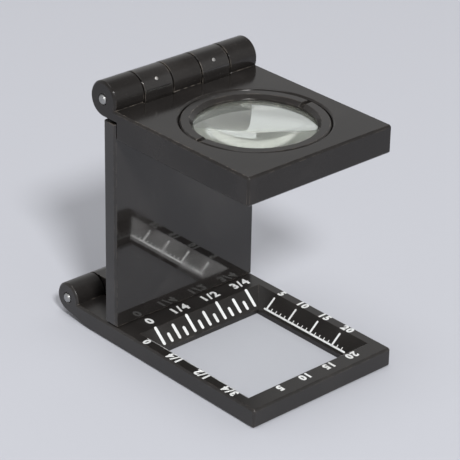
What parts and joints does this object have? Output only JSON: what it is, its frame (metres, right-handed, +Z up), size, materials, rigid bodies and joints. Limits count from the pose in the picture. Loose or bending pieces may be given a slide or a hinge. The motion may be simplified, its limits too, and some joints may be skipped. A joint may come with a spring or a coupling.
{
  "type": "folding magnifier",
  "caption": "Folding stand magnifier: a bevelled window base, an upright riser and a lens plate, joined by two knuckle hinges and folding flat.",
  "frame": {"origin": "centre of the part's bounding box in plan, on the surface that the base lies on", "axes": "+Z up from the base to the lens, +Y from the open front edges back to the hinges, +X along the hinge pins"},
  "size_m": [0.0292, 0.0466, 0.044],
  "materials": {
    "black_enamel": "semi-gloss black enamel",
    "bright_steel": "bright",
    "lens_glass": "polished"
  },
  "bodies": {
    "riser": {"riser_plate": "black_enamel"},
    "base": {"base_plate": "black_enamel", "base_hinge_pin": "bright_steel"},
    "lens_leaf": {"lens_plate": "black_enamel", "lens": "lens_glass", "lens_retaining_ring": "black_enamel", "lens_hinge_pin": "bright_steel"}
  },
  "joints": [
    {"name": "base_hinge", "type": "hinge", "parent": "riser", "child": "base", "pos_m": [0, 0.0208, 0.0035], "axis": [1, 0, 0], "range_deg": [0, 270]},
    {"name": "lens_hinge", "type": "hinge", "parent": "riser", "child": "lens_leaf", "pos_m": [0, 0.0113, 0.0411], "axis": [-1, 0, 0], "range_deg": [0, 270]}
  ]
}
